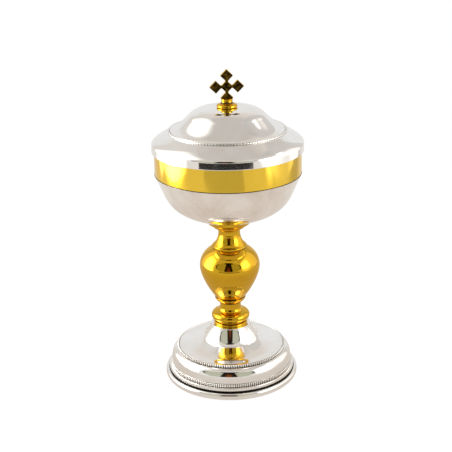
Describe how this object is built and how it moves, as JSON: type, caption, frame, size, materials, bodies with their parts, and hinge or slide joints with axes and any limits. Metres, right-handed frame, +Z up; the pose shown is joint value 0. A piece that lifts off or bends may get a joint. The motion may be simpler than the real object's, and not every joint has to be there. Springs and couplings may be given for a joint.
{
  "type": "ciborium",
  "caption": "Lidded cup on a knopped stem and a round spun foot, with a gilt band between bowl and lid and a small cross on the lid, for holding altar bread.",
  "frame": {"origin": "middle of the foot's underside, on the surface that it stands on", "axes": "+Z up along the stem's axis, the cross's plate facing -Y with a turn of 10 degrees"},
  "size_m": [0.1122, 0.1122, 0.24],
  "materials": {
    "silver_plate": "silver plated and polished",
    "stem_gilt": "deep yellow gilt, polished",
    "cup_gilt": "gilt, polished, with fine turning lines",
    "dark_gilt": "gilt over a flat ground plate",
    "plain_brass": "turned, unplated",
    "steel": "zinc plated"
  },
  "bodies": {
    "stand": {"base_ring": "silver_plate", "foot_shell": "silver_plate", "foot_bead_band_lower": "silver_plate", "foot_bead_band_upper": "silver_plate", "foot_collar": "stem_gilt", "stem_bead": "stem_gilt", "lower_neck": "stem_gilt", "knop_ring": "stem_gilt", "knop": "stem_gilt", "bell_collar": "stem_gilt", "upper_neck": "stem_gilt", "calyx": "stem_gilt", "bowl": "silver_plate", "cup": "cup_gilt", "cup_boss": "plain_brass", "tie_rod": "steel", "foot_washer": "plain_brass", "spring_washer": "steel", "foot_nut": "steel"},
    "lid": {"lid_shell": "silver_plate", "lid_bead_band": "silver_plate", "lid_collar": "silver_plate", "finial": "stem_gilt", "cross": "dark_gilt", "finial_stud": "plain_brass", "lid_washer": "plain_brass", "lid_nut": "plain_brass"}
  },
  "joints": [
    {"name": "lid_lift", "type": "slide", "parent": "stand", "child": "lid", "axis": [0, 0, 1], "range_m": [0, 0.08]}
  ]
}
